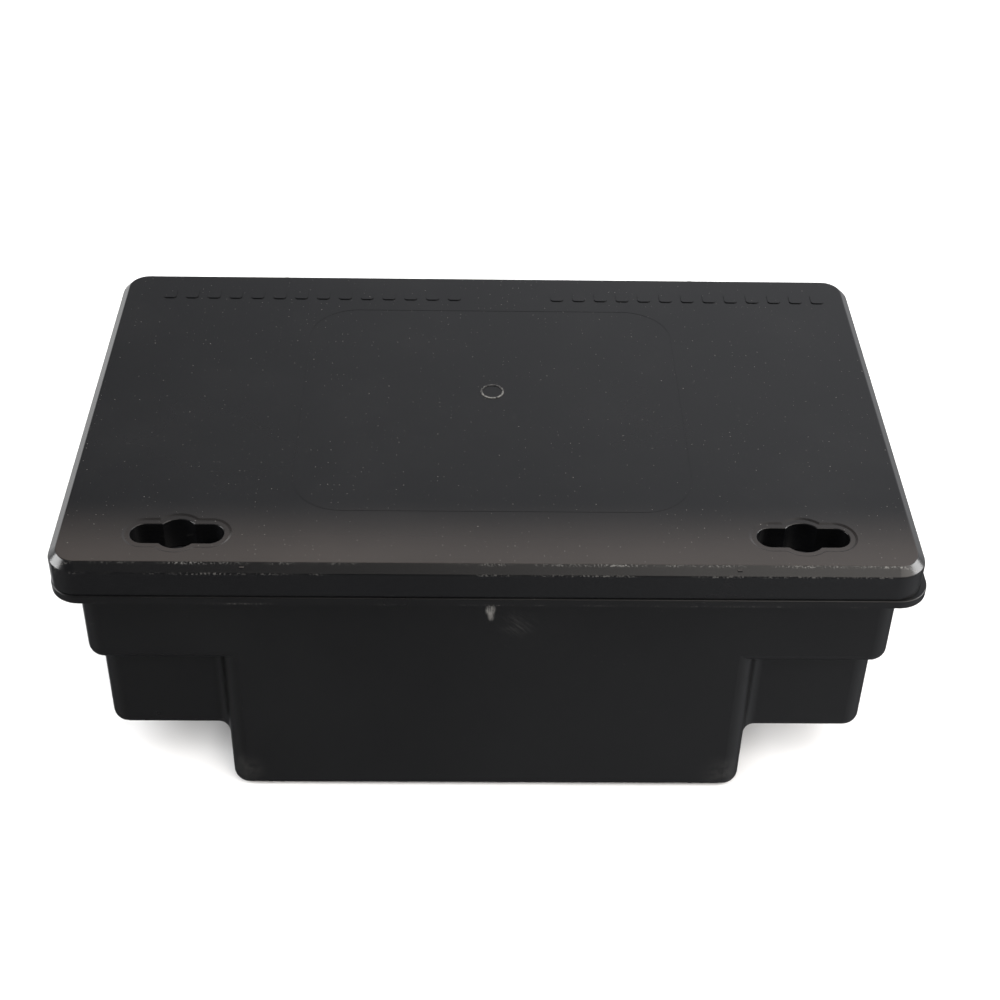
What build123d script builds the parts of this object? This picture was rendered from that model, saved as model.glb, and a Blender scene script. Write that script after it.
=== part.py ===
"""Tamper-resistant rodent bait station: a stepped tub with a hinged, key-locked lid.

Units are millimetres.  X runs to the right, Y to the back and Z up.  The origin is on the
ground, at the middle of the tub's underside.
"""
from build123d import *
from math import radians, sin, cos, hypot
import os

# ---------------------------------------------------------------- driving dimensions
station_height = 130.0     # ground to the top of the closed lid
wall = 2.5                 # moulded wall of the tub and the lid

# lid
lid_width = 322.0
lid_depth = 194.0
lid_drop = 14.1            # lid top down to the bottom edge of its skirt
lid_corner_radius = 11.0
lid_chamfer = 3.2          # sloped band round the top edge
lid_edge_softness = 1.0    # small rounding where the band meets the faces
lid_shift_x = -1.0         # the closed lid stands at the left end of its hinge play
lid_rib_to_guide = 1.8      # stiffening ribs under the lid stand this far from the latch guides
lid_rib_thickness = 1.6
lid_rib_depth = 7.0

# tub
rim_overhang_end = 1.3     # how far the tub's rim stands out past a centred lid
rim_overhang_front = 0.8
rim_thickness = 3.3
rim_root_radius = 4.0      # hollow rounding under the rim
seat_gap = 0.2             # lid skirt above the rim
rim_to_end_wall = 8.0
rim_to_front_wall = 10.8
shelf_height = 72.0        # underside of the wide upper part
pocket_height = 26.0       # underside of the shallow end pockets
pocket_end_inset = 3.0
pocket_front_inset = 9.0
well_width = 207.0         # the deep middle part that stands on the ground
tub_corner_radius = 7.0
tub_bottom_radius = 4.5
step_radius = 5.0

# entrances in the two end walls
entrance_width = 56.0
entrance_height = 38.0
entrance_sill = 3.0        # above the pocket's inside floor
entrance_y = 32.0
entrance_corner_radius = 12.0
collar_width = 4.0
collar_stand = 1.2

# anchor holes in the floor
anchor_hole_radius = 2.75
anchor_spacing_x = 157.0
anchor_spacing_y = 120.0

# hinge
hinge_x = 96.0
hinge_setback = 7.0        # hinge axis behind the lid's back face
hinge_rise = 1.3           # hinge axis above the rim
knuckle_radius = 4.0
lid_knuckle_length = 20.0
tub_knuckle_length = 11.0
hinge_end_play = 1.3       # on each side of the lid's knuckle
pin_radius = 1.5
pin_seat_clearance = 0.02
pin_running_clearance = 0.08
pin_head_radius = 2.6
pin_head_length = 1.0
lid_opening_angle = 105.0

# key slots
key_slot_x = 115.8         # from the station's middle
key_slot_from_front = 18.7
key_slot_length = 34.6
key_slot_height = 10.5
key_slot_bulge_radius = 7.95
key_slot_wall = 1.7
key_slot_border = 2.9
border_shoulder = 0.9      # width of the border's sloped outer edge
border_sink = 0.4
key_slot_lip_radius = 0.4
shaft_bottom_above_rim = 0.8

# latch
latch_travel = 6.0
latch_outer_length = 19.0  # from the key slot's middle to the latch's outer end
latch_inner_length = 15.0  # and to its inner end, where the tongue starts
latch_height = 7.0
latch_depth = 11.8
latch_floor_below_rim = 7.0
tongue_length = 5.8
tongue_depth = 8.0
tongue_height = 2.8
pocket_pitch = 24.6        # between the two pockets that the key's prongs drop into
pocket_offset = 2.9
pocket_length = 3.8
pocket_reach = 8.0
pocket_sink = 4.0
guide_wall = 1.6
slide_clearance = 0.3
latch_wall_clearance = 0.8
tongue_window_clearance = 0.5
latch_plate_thickness = 2.0
latch_plate_rear = 8.0     # how far the plate runs back to its screws
screw_spacing = 28.0
screw_radius = 1.5
screw_length = 12.0
screw_head_radius = 2.8
screw_head_height = 1.8
boss_radius = 3.4
leaf_space = 2.2           # room for the bowed leaf behind the latch
leaf_length = 24.0
leaf_thickness = 0.35
leaf_height = 5.0
leaf_clearance = 0.05
keeper_thickness = 3.0
keeper_gap = 0.8
keeper_depth = 20.0
keeper_height = 16.0

# baffles
baffle_to_keeper = 3.1     # baffle's middle to the keeper beside it
baffle_thickness = 2.5
baffle_clearance = 0.3
baffle_top_above_rim = 1.0
baffle_door_width = 46.0
baffle_door_height = 52.0
baffle_door_from_back = 12.0
guide_rib_depth = 3.0
guide_rib_thickness = 1.6

# bait tray, rods and blocks
tray_to_baffle = 12.75     # on each side, to the baffle's face
tray_depth = 118.0
tray_height = 34.0
tray_wall = 2.0
tray_corner_radius = 8.0
tray_lip = 2.5
tray_front_clearance = 3.0
rod_radius = 2.5
rod_spacing = 56.0
rod_overhang = 4.0
rod_notch_clearance = 0.25
block_count = 4
block_size = 26.0
block_gap = 3.0            # between neighbouring blocks
block_end_gap = 5.5        # from the end blocks to the tray's walls
block_bore_clearance = 0.4
stop_rib_height = 6.0
stop_rib_thickness = 2.0
stop_rib_length = 16.0
tray_clearance = 0.5

# lid marks
label_width = 154.0
label_depth = 134.0
label_from_front = 31.5
label_x = 0.6
label_corner_radius = 20.0
label_groove = 0.4
label_sink = 0.08
gate_radius = 4.8
gate_ring = 0.8
gate_height = 0.25
gate_from_front = 106.8
gate_x = 1.0
rib_mark_height = 0.35
rib_mark_depth = 7.0
rib_mark_length = 5.6
rib_mark_pitch = 9.6
rib_mark_from_back = 17.0
rib_mark_corner_radius = 1.4
left_marks = (-139.0, 14)  # first mark's place across the lid, and how many
right_marks = (31.0, 13)

# service card under the lid
card_width = 120.0
card_depth = 74.0
card_thickness = 0.6
card_clearance = 0.4
card_from_front = 80.0
clip_length = 14.0
clip_wall = 1.4
clip_grip = 3.0

# ---------------------------------------------------------------- levels and lines
lid_bottom = station_height - lid_drop
rim_top = lid_bottom - seat_gap
lid_ceiling = station_height - wall
rim_width = lid_width + 2 * rim_overhang_end
rim_depth = lid_depth + 2 * rim_overhang_front
upper_width = rim_width - 2 * rim_to_end_wall
upper_depth = rim_depth - 2 * rim_to_front_wall
pocket_width = upper_width - 2 * pocket_end_inset
pocket_depth = upper_depth - 2 * pocket_front_inset
front_wall_inner = -upper_depth / 2 + wall
back_wall_inner = upper_depth / 2 - wall
lid_front = -lid_depth / 2
key_slot_y = lid_front + key_slot_from_front
hinge_y = lid_depth / 2 + hinge_setback
hinge_z = rim_top + hinge_rise
pocket_floor = pocket_height + wall
latch_front = front_wall_inner + latch_wall_clearance + guide_wall + slide_clearance
latch_back = latch_front + latch_depth
latch_floor = rim_top - latch_floor_below_rim
latch_top = latch_floor + latch_height
guide_front = latch_front - slide_clearance - guide_wall
guide_back = latch_back + leaf_space + guide_wall
latch_outer_end = latch_outer_length + slide_clearance + guide_wall
latch_inner_end = latch_inner_length + latch_travel + slide_clearance + guide_wall
keeper_end = latch_inner_end + keeper_gap + keeper_thickness
baffle_x = key_slot_x - keeper_end - baffle_to_keeper
plate_back = guide_back + latch_plate_rear
tongue_base = latch_floor + 1.0
tongue_middle_y = (latch_front + latch_back) / 2
screw_y = guide_back + latch_plate_rear / 2 - 0.4
tray_width = 2 * (baffle_x - baffle_thickness / 2 - tray_to_baffle)
tray_inside = tray_width - 2 * tray_wall
block_room = tray_inside - 2 * block_end_gap - (block_count - 1) * block_gap
block_length = block_room / block_count
tray_front = front_wall_inner + tray_front_clearance
tray_middle_y = tray_front + tray_depth / 2
tray_floor = wall + tray_wall
rod_z = tray_floor + block_size / 2
lock_sides = {"left": 1, "right": -1}    # side name to the direction of the station's middle


def lock_x(side):
    """Middle of a key slot, across the station."""
    return -lock_sides[side] * key_slot_x


def along(side, distance):
    """A place at this distance from the key slot's middle, towards the station's middle."""
    return lock_x(side) + lock_sides[side] * distance


def rounded_slab(width, depth, low, high, radius, bottom_radius):
    """Upright rounded block whose bottom edge is rounded too."""
    with BuildPart() as slab:
        with BuildSketch(Plane.XY.offset(low)):
            RectangleRounded(width, depth, radius)
        extrude(amount=high - low)
        fillet(slab.faces().sort_by(Axis.Z)[0].edges(), bottom_radius)
    return slab.part


def tub_form(inset, top):
    """The tub's outline drawn in by inset: wide top, end pockets and deep middle."""
    corner = tub_corner_radius - inset
    bottom = tub_bottom_radius - inset
    upper = rounded_slab(upper_width - 2 * inset, upper_depth - 2 * inset,
                         shelf_height + inset, top, corner, bottom)
    pocket = rounded_slab(pocket_width - 2 * inset, pocket_depth - 2 * inset,
                          pocket_height + inset, top, corner, bottom)
    well = rounded_slab(well_width - 2 * inset, upper_depth - 2 * inset,
                        inset, top, corner, bottom)
    with BuildPart() as form:
        add(upper)
        add(pocket)
        add(well)
        inner_corner = form.edges().filter_by(Axis.Y).filter_by_position(
            Axis.Z, pocket_height + inset - 0.1, pocket_height + inset + 0.1)
        inside = [edge for edge in inner_corner
                  if abs(abs(edge.center().X) - (well_width / 2 - inset)) < 0.1]
        fillet(inside, step_radius + inset)
    return form.part


def block_between(low, high, mode=Mode.ADD):
    """Plain block between two opposite corners, in the piece being built."""
    with Locations(tuple((a + b) / 2 for a, b in zip(low, high))):
        Box(*(abs(b - a) for a, b in zip(low, high)), mode=mode)


def key_slot_outline(x, grow):
    """Sketch content of a key slot: a rounded slot with a round bulge in its middle."""
    with Locations((x, key_slot_y)):
        SlotOverall(key_slot_length + 2 * grow, key_slot_height + 2 * grow)
        Circle(key_slot_bulge_radius + grow)


def slot_edges(edges, x):
    """Those of the edges that lie on the key slot's own outline, not on its border's."""
    straight_reach = (key_slot_length - key_slot_height) / 2
    kept = []
    for edge in edges:
        point = edge @ 0.5
        across = abs(point.Y - key_slot_y)
        past_straight = max(abs(point.X - x) - straight_reach, 0)
        in_lobe = hypot(past_straight, across) < key_slot_height / 2 + 0.1
        in_bulge = hypot(point.X - x, across) < key_slot_bulge_radius + 0.1
        if in_lobe or in_bulge:
            kept.append(edge)
    return kept


def bar_along_x(x_start, x_end, y, z, radius, mode=Mode.ADD):
    """Round bar along X, in the piece being built."""
    with Locations(Location(((x_start + x_end) / 2, y, z), (0, 90, 0))):
        Cylinder(radius, x_end - x_start, mode=mode)


# ---------------------------------------------------------------- base
tub_outside = tub_form(0, rim_top)
tub_cavity = tub_form(wall, rim_top + 1)
gap_half = lid_knuckle_length / 2 + hinge_end_play
with BuildPart() as base:
    add(tub_outside)
    with BuildSketch(Plane.XY.offset(rim_top - rim_thickness)):
        RectangleRounded(rim_width, rim_depth, lid_corner_radius + rim_overhang_front)
    extrude(amount=rim_thickness)
    rim_edges = base.faces().sort_by(Axis.Z)[-1].outer_wire().edges()
    fillet(rim_edges, 0.5)
    rim_underside = rim_top - rim_thickness
    rim_root = [edge for edge in base.edges().filter_by_position(
                Axis.Z, rim_underside - 0.01, rim_underside + 0.01)
                if abs(edge.center().X) < upper_width / 2 + 0.1
                and abs(edge.center().Y) < upper_depth / 2 + 0.1]
    fillet(rim_root, rim_root_radius)
    # collars round the entrances
    for direction in (-1, 1):
        end_plane = Plane.YZ.offset(direction * (pocket_width / 2 + collar_stand))
        with BuildSketch(end_plane):
            with Locations((entrance_y, pocket_floor + entrance_sill + entrance_height / 2)):
                RectangleRounded(entrance_width + 2 * collar_width,
                                 entrance_height + 2 * collar_width - 1,
                                 entrance_corner_radius + collar_width - 1)
        extrude(amount=-direction * (collar_stand + wall / 2))
    # hinge brackets and their knuckles
    for middle in (-hinge_x, hinge_x):
        for direction in (-1, 1):
            near = middle + direction * gap_half
            far = near + direction * tub_knuckle_length
            with BuildSketch(Plane.YZ.offset(min(near, far))) as bracket:
                with BuildLine():
                    Polyline((upper_depth / 2 - 1, rim_top - 18),
                             (hinge_y + knuckle_radius * cos(radians(40)),
                              hinge_z - knuckle_radius * sin(radians(40))),
                             (hinge_y, hinge_z),
                             (hinge_y - knuckle_radius, hinge_z),
                             (hinge_y - knuckle_radius, rim_top),
                             (upper_depth / 2 - 1, rim_top),
                             (upper_depth / 2 - 1, rim_top - 18))
                make_face()
                with Locations((hinge_y, hinge_z)):
                    Circle(knuckle_radius)
            extrude(amount=tub_knuckle_length)
    add(tub_cavity, mode=Mode.SUBTRACT)
    # entrances through the end walls
    with BuildSketch(Plane.YZ.offset(-upper_width / 2 - 10)):
        with Locations((entrance_y, pocket_floor + entrance_sill + entrance_height / 2)):
            RectangleRounded(entrance_width, entrance_height, entrance_corner_radius)
    extrude(amount=upper_width + 20, mode=Mode.SUBTRACT)
    # pin bores
    for middle in (-hinge_x, hinge_x):
        reach = gap_half + tub_knuckle_length + 1
        bar_along_x(middle - reach, middle + reach, hinge_y, hinge_z,
                    pin_radius + pin_seat_clearance, mode=Mode.SUBTRACT)
    # anchor holes in the floor
    with Locations(Location((0, 0, wall))):
        with GridLocations(anchor_spacing_x, anchor_spacing_y, 2, 2):
            Hole(anchor_hole_radius, depth=2 * wall)
    # guide ribs that hold the baffles upright
    for middle in (-baffle_x, baffle_x):
        for direction in (-1, 1):
            near = middle + direction * (baffle_thickness / 2 + baffle_clearance)
            far = near + direction * guide_rib_thickness
            for wall_y, into in ((front_wall_inner, 1), (back_wall_inner, -1)):
                block_between((near, wall_y - into * wall / 2, wall / 2),
                              (far, wall_y + into * guide_rib_depth, rim_top - 8))
    # ribs on the floor that keep the tray in its place
    for x in (-1, 1):
        for y in (-1, 1):
            edge_x = x * (tray_width / 2 + tray_clearance)
            edge_y = tray_middle_y + y * (tray_depth / 2 + tray_clearance)
            near_x = edge_x - x * 12
            if y > 0:
                block_between((near_x, edge_y, wall / 2),
                              (near_x - x * stop_rib_length, edge_y + stop_rib_thickness,
                               wall + stop_rib_height))
            block_between((edge_x, edge_y - y * 14, wall / 2),
                          (edge_x + x * stop_rib_thickness, edge_y - y * (14 + stop_rib_length),
                           wall + stop_rib_height))
    # keepers that the latch tongues slide into
    for side, inward in lock_sides.items():
        near = along(side, latch_inner_end + keeper_gap)
        far = near + inward * keeper_thickness
        block_between((near, front_wall_inner - wall / 2, rim_top - keeper_height),
                      (far, front_wall_inner + keeper_depth, rim_top - 0.5))
        block_between((near - inward, tongue_middle_y - tongue_depth / 2 - tongue_window_clearance,
                       tongue_base - tongue_window_clearance),
                      (far + inward, tongue_middle_y + tongue_depth / 2 + tongue_window_clearance,
                       tongue_base + tongue_height + tongue_window_clearance),
                      mode=Mode.SUBTRACT)

# ---------------------------------------------------------------- lid
with BuildPart() as lid:
    with BuildSketch(Plane.XY.offset(lid_bottom)):
        with Locations((lid_shift_x, 0)):
            RectangleRounded(lid_width, lid_depth, lid_corner_radius)
    extrude(amount=lid_drop)
    chamfer(lid.faces().sort_by(Axis.Z)[-1].edges(), lid_chamfer)
    band_low = station_height - lid_chamfer
    band_edges = lid.edges().filter_by_position(Axis.Z, band_low - 0.01, band_low + 0.01)
    fillet(lid.faces().sort_by(Axis.Z)[-1].edges() + band_edges, lid_edge_softness)
    with BuildSketch(Plane.XY.offset(lid_bottom)):
        with Locations((lid_shift_x, 0)):
            RectangleRounded(lid_width - 2 * wall, lid_depth - 2 * wall, lid_corner_radius - wall)
    extrude(amount=lid_drop - wall, mode=Mode.SUBTRACT)
    # hinge arms and knuckles
    for middle in (-hinge_x, hinge_x):
        start = middle + lid_shift_x - lid_knuckle_length / 2
        with BuildSketch(Plane.YZ.offset(start)):
            with BuildLine():
                Polyline((lid_depth / 2 - 1, rim_top + 1.0),
                         (hinge_y, rim_top + 1.0),
                         (hinge_y, hinge_z + knuckle_radius),
                         (lid_depth / 2 - 1, hinge_z + knuckle_radius + 2),
                         (lid_depth / 2 - 1, rim_top + 1.0))
            make_face()
            with Locations((hinge_y, hinge_z)):
                Circle(knuckle_radius)
        extrude(amount=lid_knuckle_length)
        bar_along_x(start - 1, start + lid_knuckle_length + 1, hinge_y, hinge_z,
                    pin_radius + pin_running_clearance, mode=Mode.SUBTRACT)
    # stiffening ribs under the top, and the latch guides and bosses
    for side, inward in lock_sides.items():
        outer = along(side, -latch_outer_end)
        inner = along(side, latch_inner_end)
        rib_start = inner + inward * lid_rib_to_guide
        block_between((rib_start, lid_front + wall / 2, lid_ceiling - lid_rib_depth),
                      (rib_start + inward * lid_rib_thickness, -lid_front - wall / 2,
                       lid_ceiling + wall / 2))
        block_between((outer, guide_front, latch_floor), (inner, guide_back, lid_ceiling + 1))
        with BuildSketch(Plane.XY.offset(rim_top + shaft_bottom_above_rim)):
            key_slot_outline(lock_x(side), key_slot_wall)
        extrude(amount=lid_ceiling - rim_top - shaft_bottom_above_rim + 1)
        block_between((outer + inward * guide_wall, guide_front + guide_wall, latch_floor - 1),
                      (inner - inward * guide_wall, guide_back - guide_wall,
                       rim_top + shaft_bottom_above_rim), mode=Mode.SUBTRACT)
        block_between((inner - inward * 2 * guide_wall,
                       tongue_middle_y - tongue_depth / 2 - tongue_window_clearance,
                       latch_floor - 1),
                      (inner + inward * lid_rib_to_guide / 2,
                       tongue_middle_y + tongue_depth / 2 + tongue_window_clearance,
                       tongue_base + tongue_height + tongue_window_clearance),
                      mode=Mode.SUBTRACT)
        for shift in (-screw_spacing / 2, screw_spacing / 2):
            with BuildSketch(Plane.XY.offset(latch_floor)):
                with Locations((lock_x(side) + shift, screw_y)):
                    Circle(boss_radius)
            extrude(amount=lid_ceiling - latch_floor + 1)
            with BuildSketch(Plane.XY.offset(latch_floor)):
                with Locations((lock_x(side) + shift, screw_y)):
                    Circle(screw_radius + pin_seat_clearance)
            extrude(amount=screw_length, mode=Mode.SUBTRACT)
        with BuildSketch(Plane.XY.offset(station_height)):
            key_slot_outline(lock_x(side), 0)
        extrude(amount=-(station_height - rim_top), mode=Mode.SUBTRACT)
        with BuildSketch(Plane.XY.offset(station_height - border_sink)):
            key_slot_outline(lock_x(side), key_slot_border - border_shoulder)
        with BuildSketch(Plane.XY.offset(station_height)):
            key_slot_outline(lock_x(side), key_slot_border)
        loft(ruled=True, mode=Mode.SUBTRACT)
        lip_z = station_height - border_sink
        border_floor = lid.edges().filter_by_position(Axis.Z, lip_z - 0.01, lip_z + 0.01)
        fillet(slot_edges(border_floor, lock_x(side)), key_slot_lip_radius)
    # clips for the service card
    for x in (-1, 1):
        for y in (-1, 1):
            corner_x = lid_shift_x + x * card_width / 3
            corner_y = lid_front + card_from_front + y * (card_depth / 2 + card_clearance)
            grip = corner_y - y * clip_grip
            drop = lid_ceiling - card_thickness - card_clearance
            block_between((corner_x - clip_length / 2, corner_y, drop - clip_wall),
                          (corner_x + clip_length / 2, corner_y + y * clip_wall,
                           lid_ceiling + wall / 2))
            block_between((corner_x - clip_length / 2, grip, drop - clip_wall),
                          (corner_x + clip_length / 2, corner_y + y * clip_wall, drop))
    # label area: a fine groove round a plain panel
    label_y = lid_front + label_from_front + label_depth / 2
    with BuildSketch(Plane.XY.offset(station_height)):
        with Locations((label_x, label_y)):
            RectangleRounded(label_width, label_depth, label_corner_radius)
            RectangleRounded(label_width - 2 * label_groove, label_depth - 2 * label_groove,
                             label_corner_radius - label_groove, mode=Mode.SUBTRACT)
    extrude(amount=-label_sink, mode=Mode.SUBTRACT)
    # moulding gate mark
    with BuildSketch(Plane.XY.offset(station_height)):
        with Locations((gate_x, lid_front + gate_from_front)):
            Circle(gate_radius)
            Circle(gate_radius - gate_ring, mode=Mode.SUBTRACT)
    extrude(amount=gate_height)
    # plain raised ribs in two rows along the back
    mark_y = -lid_front - rib_mark_from_back
    for first, count in (left_marks, right_marks):
        with BuildSketch(Plane.XY.offset(station_height)):
            with Locations(*[(lid_shift_x + first + i * rib_mark_pitch, mark_y)
                             for i in range(count)]):
                RectangleRounded(rib_mark_length, rib_mark_depth, rib_mark_corner_radius)
        extrude(amount=rib_mark_height)

# ---------------------------------------------------------------- hinge pins
hinge_pins = {}
for side, middle in (("left", -hinge_x), ("right", hinge_x)):
    half = gap_half + tub_knuckle_length
    with BuildPart() as hinge_pin:
        bar_along_x(middle - half, middle + half, hinge_y, hinge_z, pin_radius)
        bar_along_x(middle + half, middle + half + pin_head_length, hinge_y, hinge_z,
                    pin_head_radius)
    hinge_pins[side] = hinge_pin.part

# ---------------------------------------------------------------- latches
latches = {}
latch_springs = {}
latch_plates = {}
for side, inward in lock_sides.items():
    with BuildPart() as latch:
        block_between((along(side, -latch_outer_length), latch_front, latch_floor + 0.1),
                      (along(side, latch_inner_length), latch_back, latch_top))
        fillet(latch.edges().filter_by(Axis.Z), 0.8)
        block_between((along(side, latch_inner_length - 1), tongue_middle_y - tongue_depth / 2,
                       tongue_base),
                      (along(side, latch_inner_length + tongue_length),
                       tongue_middle_y + tongue_depth / 2, tongue_base + tongue_height))
        with BuildSketch(Plane.XY.offset(latch_top)):
            with Locations(*[(along(side, shift - pocket_offset), tongue_middle_y)
                             for shift in (-pocket_pitch / 2, pocket_pitch / 2)]):
                RectangleRounded(pocket_length, pocket_reach, 0.8)
        extrude(amount=-pocket_sink, mode=Mode.SUBTRACT)
    latches[side] = latch.part

    # bowed leaf that rubs on the latch's back and holds it where the key leaves it
    leaf_front = latch_back + leaf_clearance
    leaf_back = latch_back + leaf_space
    with BuildPart() as latch_spring:
        with BuildSketch(Plane.XY.offset(latch_floor + (latch_height - leaf_height) / 2)):
            with BuildLine():
                inner_bow = ThreePointArc((lock_x(side) - leaf_length / 2, leaf_back - leaf_thickness),
                                          (lock_x(side), leaf_front),
                                          (lock_x(side) + leaf_length / 2, leaf_back - leaf_thickness))
                outer_bow = ThreePointArc((lock_x(side) - leaf_length / 2, leaf_back),
                                          (lock_x(side), leaf_front + leaf_thickness),
                                          (lock_x(side) + leaf_length / 2, leaf_back))
                Line(inner_bow @ 0, outer_bow @ 0)
                Line(inner_bow @ 1, outer_bow @ 1)
            make_face()
        extrude(amount=leaf_height)
    latch_springs[side] = latch_spring.part

    plate_ends = (along(side, -latch_outer_end), along(side, latch_inner_end))
    with BuildPart() as latch_plate:
        block_between((min(plate_ends), guide_front, latch_floor - latch_plate_thickness),
                      (max(plate_ends), plate_back, latch_floor))
        fillet(latch_plate.edges().filter_by(Axis.Z), 1.0)
        with BuildSketch(Plane.XY.offset(latch_floor)):
            with Locations(*[(lock_x(side) + shift, screw_y)
                             for shift in (-screw_spacing / 2, screw_spacing / 2)]):
                Circle(screw_radius + pin_seat_clearance)
        extrude(amount=-latch_plate_thickness, mode=Mode.SUBTRACT)
    latch_plates[side] = latch_plate.part

# ---------------------------------------------------------------- latch screws
screw_places = [(lock_x(side) + shift, screw_y) for side in lock_sides
                for shift in (-screw_spacing / 2, screw_spacing / 2)]
with BuildPart() as latch_screws:
    with BuildSketch(Plane.XY.offset(latch_floor - latch_plate_thickness)):
        with Locations(*screw_places):
            Circle(screw_radius)
    extrude(amount=screw_length)
    with BuildSketch(Plane.XY.offset(latch_floor - latch_plate_thickness)):
        with Locations(*screw_places):
            Circle(screw_head_radius)
    extrude(amount=-screw_head_height)
    fillet(latch_screws.faces().filter_by(Plane.XY).group_by(Axis.Z)[0].edges(), 0.7)
    with BuildSketch(Plane.XY.offset(latch_floor - latch_plate_thickness - screw_head_height)):
        with Locations(*screw_places):
            Rectangle(3.0, 0.7)
            Rectangle(0.7, 3.0)
    extrude(amount=1.0, mode=Mode.SUBTRACT)

# ---------------------------------------------------------------- baffles
baffles = {}
for side, inward in lock_sides.items():
    middle = -inward * baffle_x
    with BuildPart() as baffle:
        with BuildSketch(Plane.YZ.offset(middle - baffle_thickness / 2)):
            with BuildLine():
                low_y = front_wall_inner + baffle_clearance
                high_y = back_wall_inner - baffle_clearance
                top_z = rim_top + baffle_top_above_rim
                corner = tub_bottom_radius
                FilletPolyline((low_y, wall), (low_y, top_z), (high_y, top_z), (high_y, wall),
                               radius=corner, close=True)
            make_face()
            door_y = high_y - baffle_door_from_back - baffle_door_width / 2
            with Locations((door_y, pocket_floor + baffle_door_height / 2)):
                RectangleRounded(baffle_door_width, baffle_door_height, 10, mode=Mode.SUBTRACT)
        extrude(amount=baffle_thickness)
    baffles[side] = baffle.part

# ---------------------------------------------------------------- bait tray
with BuildPart() as bait_tray:
    with BuildSketch(Plane.XY.offset(wall)):
        with Locations((0, tray_middle_y)):
            RectangleRounded(tray_width, tray_depth, tray_corner_radius)
    extrude(amount=tray_height)
    fillet(bait_tray.faces().sort_by(Axis.Z)[0].edges(), 2.0)
    with BuildSketch(Plane.XY.offset(tray_floor)):
        with Locations((0, tray_middle_y)):
            RectangleRounded(tray_inside, tray_depth - 2 * tray_wall,
                             tray_corner_radius - tray_wall)
    extrude(amount=tray_height, mode=Mode.SUBTRACT)
    with BuildSketch(Plane.XY.offset(wall + tray_height - tray_wall)):
        with Locations((0, tray_middle_y)):
            RectangleRounded(tray_width + 2 * tray_lip, tray_depth + 2 * tray_lip - 1,
                             tray_corner_radius + tray_lip)
            RectangleRounded(tray_inside, tray_depth - 2 * tray_wall,
                             tray_corner_radius - tray_wall, mode=Mode.SUBTRACT)
    extrude(amount=tray_wall)
    for shift in (-rod_spacing / 2, rod_spacing / 2):
        with BuildSketch(Plane.YZ.offset(-tray_width)):
            with Locations((tray_middle_y + shift, rod_z)):
                Circle(rod_radius + rod_notch_clearance)
            with Locations((tray_middle_y + shift, rod_z + tray_height / 2)):
                Rectangle(2 * (rod_radius + rod_notch_clearance), tray_height)
        extrude(amount=2 * tray_width, mode=Mode.SUBTRACT)

# ---------------------------------------------------------------- rods and bait blocks
rods = {}
blocks = {}
for row, shift in (("front", -rod_spacing / 2), ("rear", rod_spacing / 2)):
    rod_y = tray_middle_y + shift
    with BuildPart() as rod:
        bar_along_x(-tray_width / 2 - rod_overhang, tray_width / 2 + rod_overhang,
                    rod_y, rod_z, rod_radius)
        chamfer(rod.edges().filter_by(GeomType.CIRCLE), 0.6)
    rods[row] = rod.part
    with BuildPart() as block_row:
        with BuildSketch(Plane.YZ.offset(-block_length / 2)):
            with Locations((rod_y, rod_z)):
                RectangleRounded(block_size, block_size, 2.5)
        extrude(amount=block_length)
        for turn in (-1, 0, 1, 2):
            groove_plane = Plane(origin=(0, rod_y, rod_z), x_dir=(1, 0, 0), z_dir=(0, 0, 1))
            with BuildSketch(groove_plane.rotated((90 * turn, 0, 0)).offset(block_size / 2)):
                with Locations((-block_length / 4, 0), (block_length / 4, 0)):
                    Rectangle(2.4, block_size)
            extrude(amount=-1.2, mode=Mode.SUBTRACT)
        with BuildSketch(Plane.YZ.offset(-block_length)):
            with Locations((rod_y, rod_z)):
                Circle(rod_radius + block_bore_clearance)
        extrude(amount=2 * block_length, mode=Mode.SUBTRACT)
    one_block = block_row.part
    with BuildPart() as bait_blocks:
        for index in range(block_count):
            place = (index - (block_count - 1) / 2) * (block_length + block_gap)
            with Locations((place, 0, 0)):
                add(one_block)
    blocks[row] = bait_blocks.part

# ---------------------------------------------------------------- service card
card_top = lid_ceiling - card_clearance / 2
with BuildPart() as service_card:
    with BuildSketch(Plane.XY.offset(card_top)):
        with Locations((lid_shift_x, lid_front + card_from_front)):
            RectangleRounded(card_width, card_depth, 3.0)
    extrude(amount=-card_thickness)

# ---------------------------------------------------------------- write the pieces
pieces = {
    "base": base.part,
    "lid": lid.part,
    "latch_screws": latch_screws.part,
    "bait_tray": bait_tray.part,
    "service_card": service_card.part,
}
for side in lock_sides:
    pieces[side + "_hinge_pin"] = hinge_pins[side]
    pieces[side + "_latch"] = latches[side]
    pieces[side + "_latch_spring"] = latch_springs[side]
    pieces[side + "_latch_plate"] = latch_plates[side]
    pieces[side + "_baffle"] = baffles[side]
for row in ("front", "rear"):
    pieces[row + "_bait_rod"] = rods[row]
    pieces[row + "_bait_blocks"] = blocks[row]

os.makedirs("parts", exist_ok=True)
for name, piece in pieces.items():
    piece.label = name
    export_step(piece, f"parts/{name}.step")
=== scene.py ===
import bpy
import math
import numpy as np
from mathutils import Matrix, Vector


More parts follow.
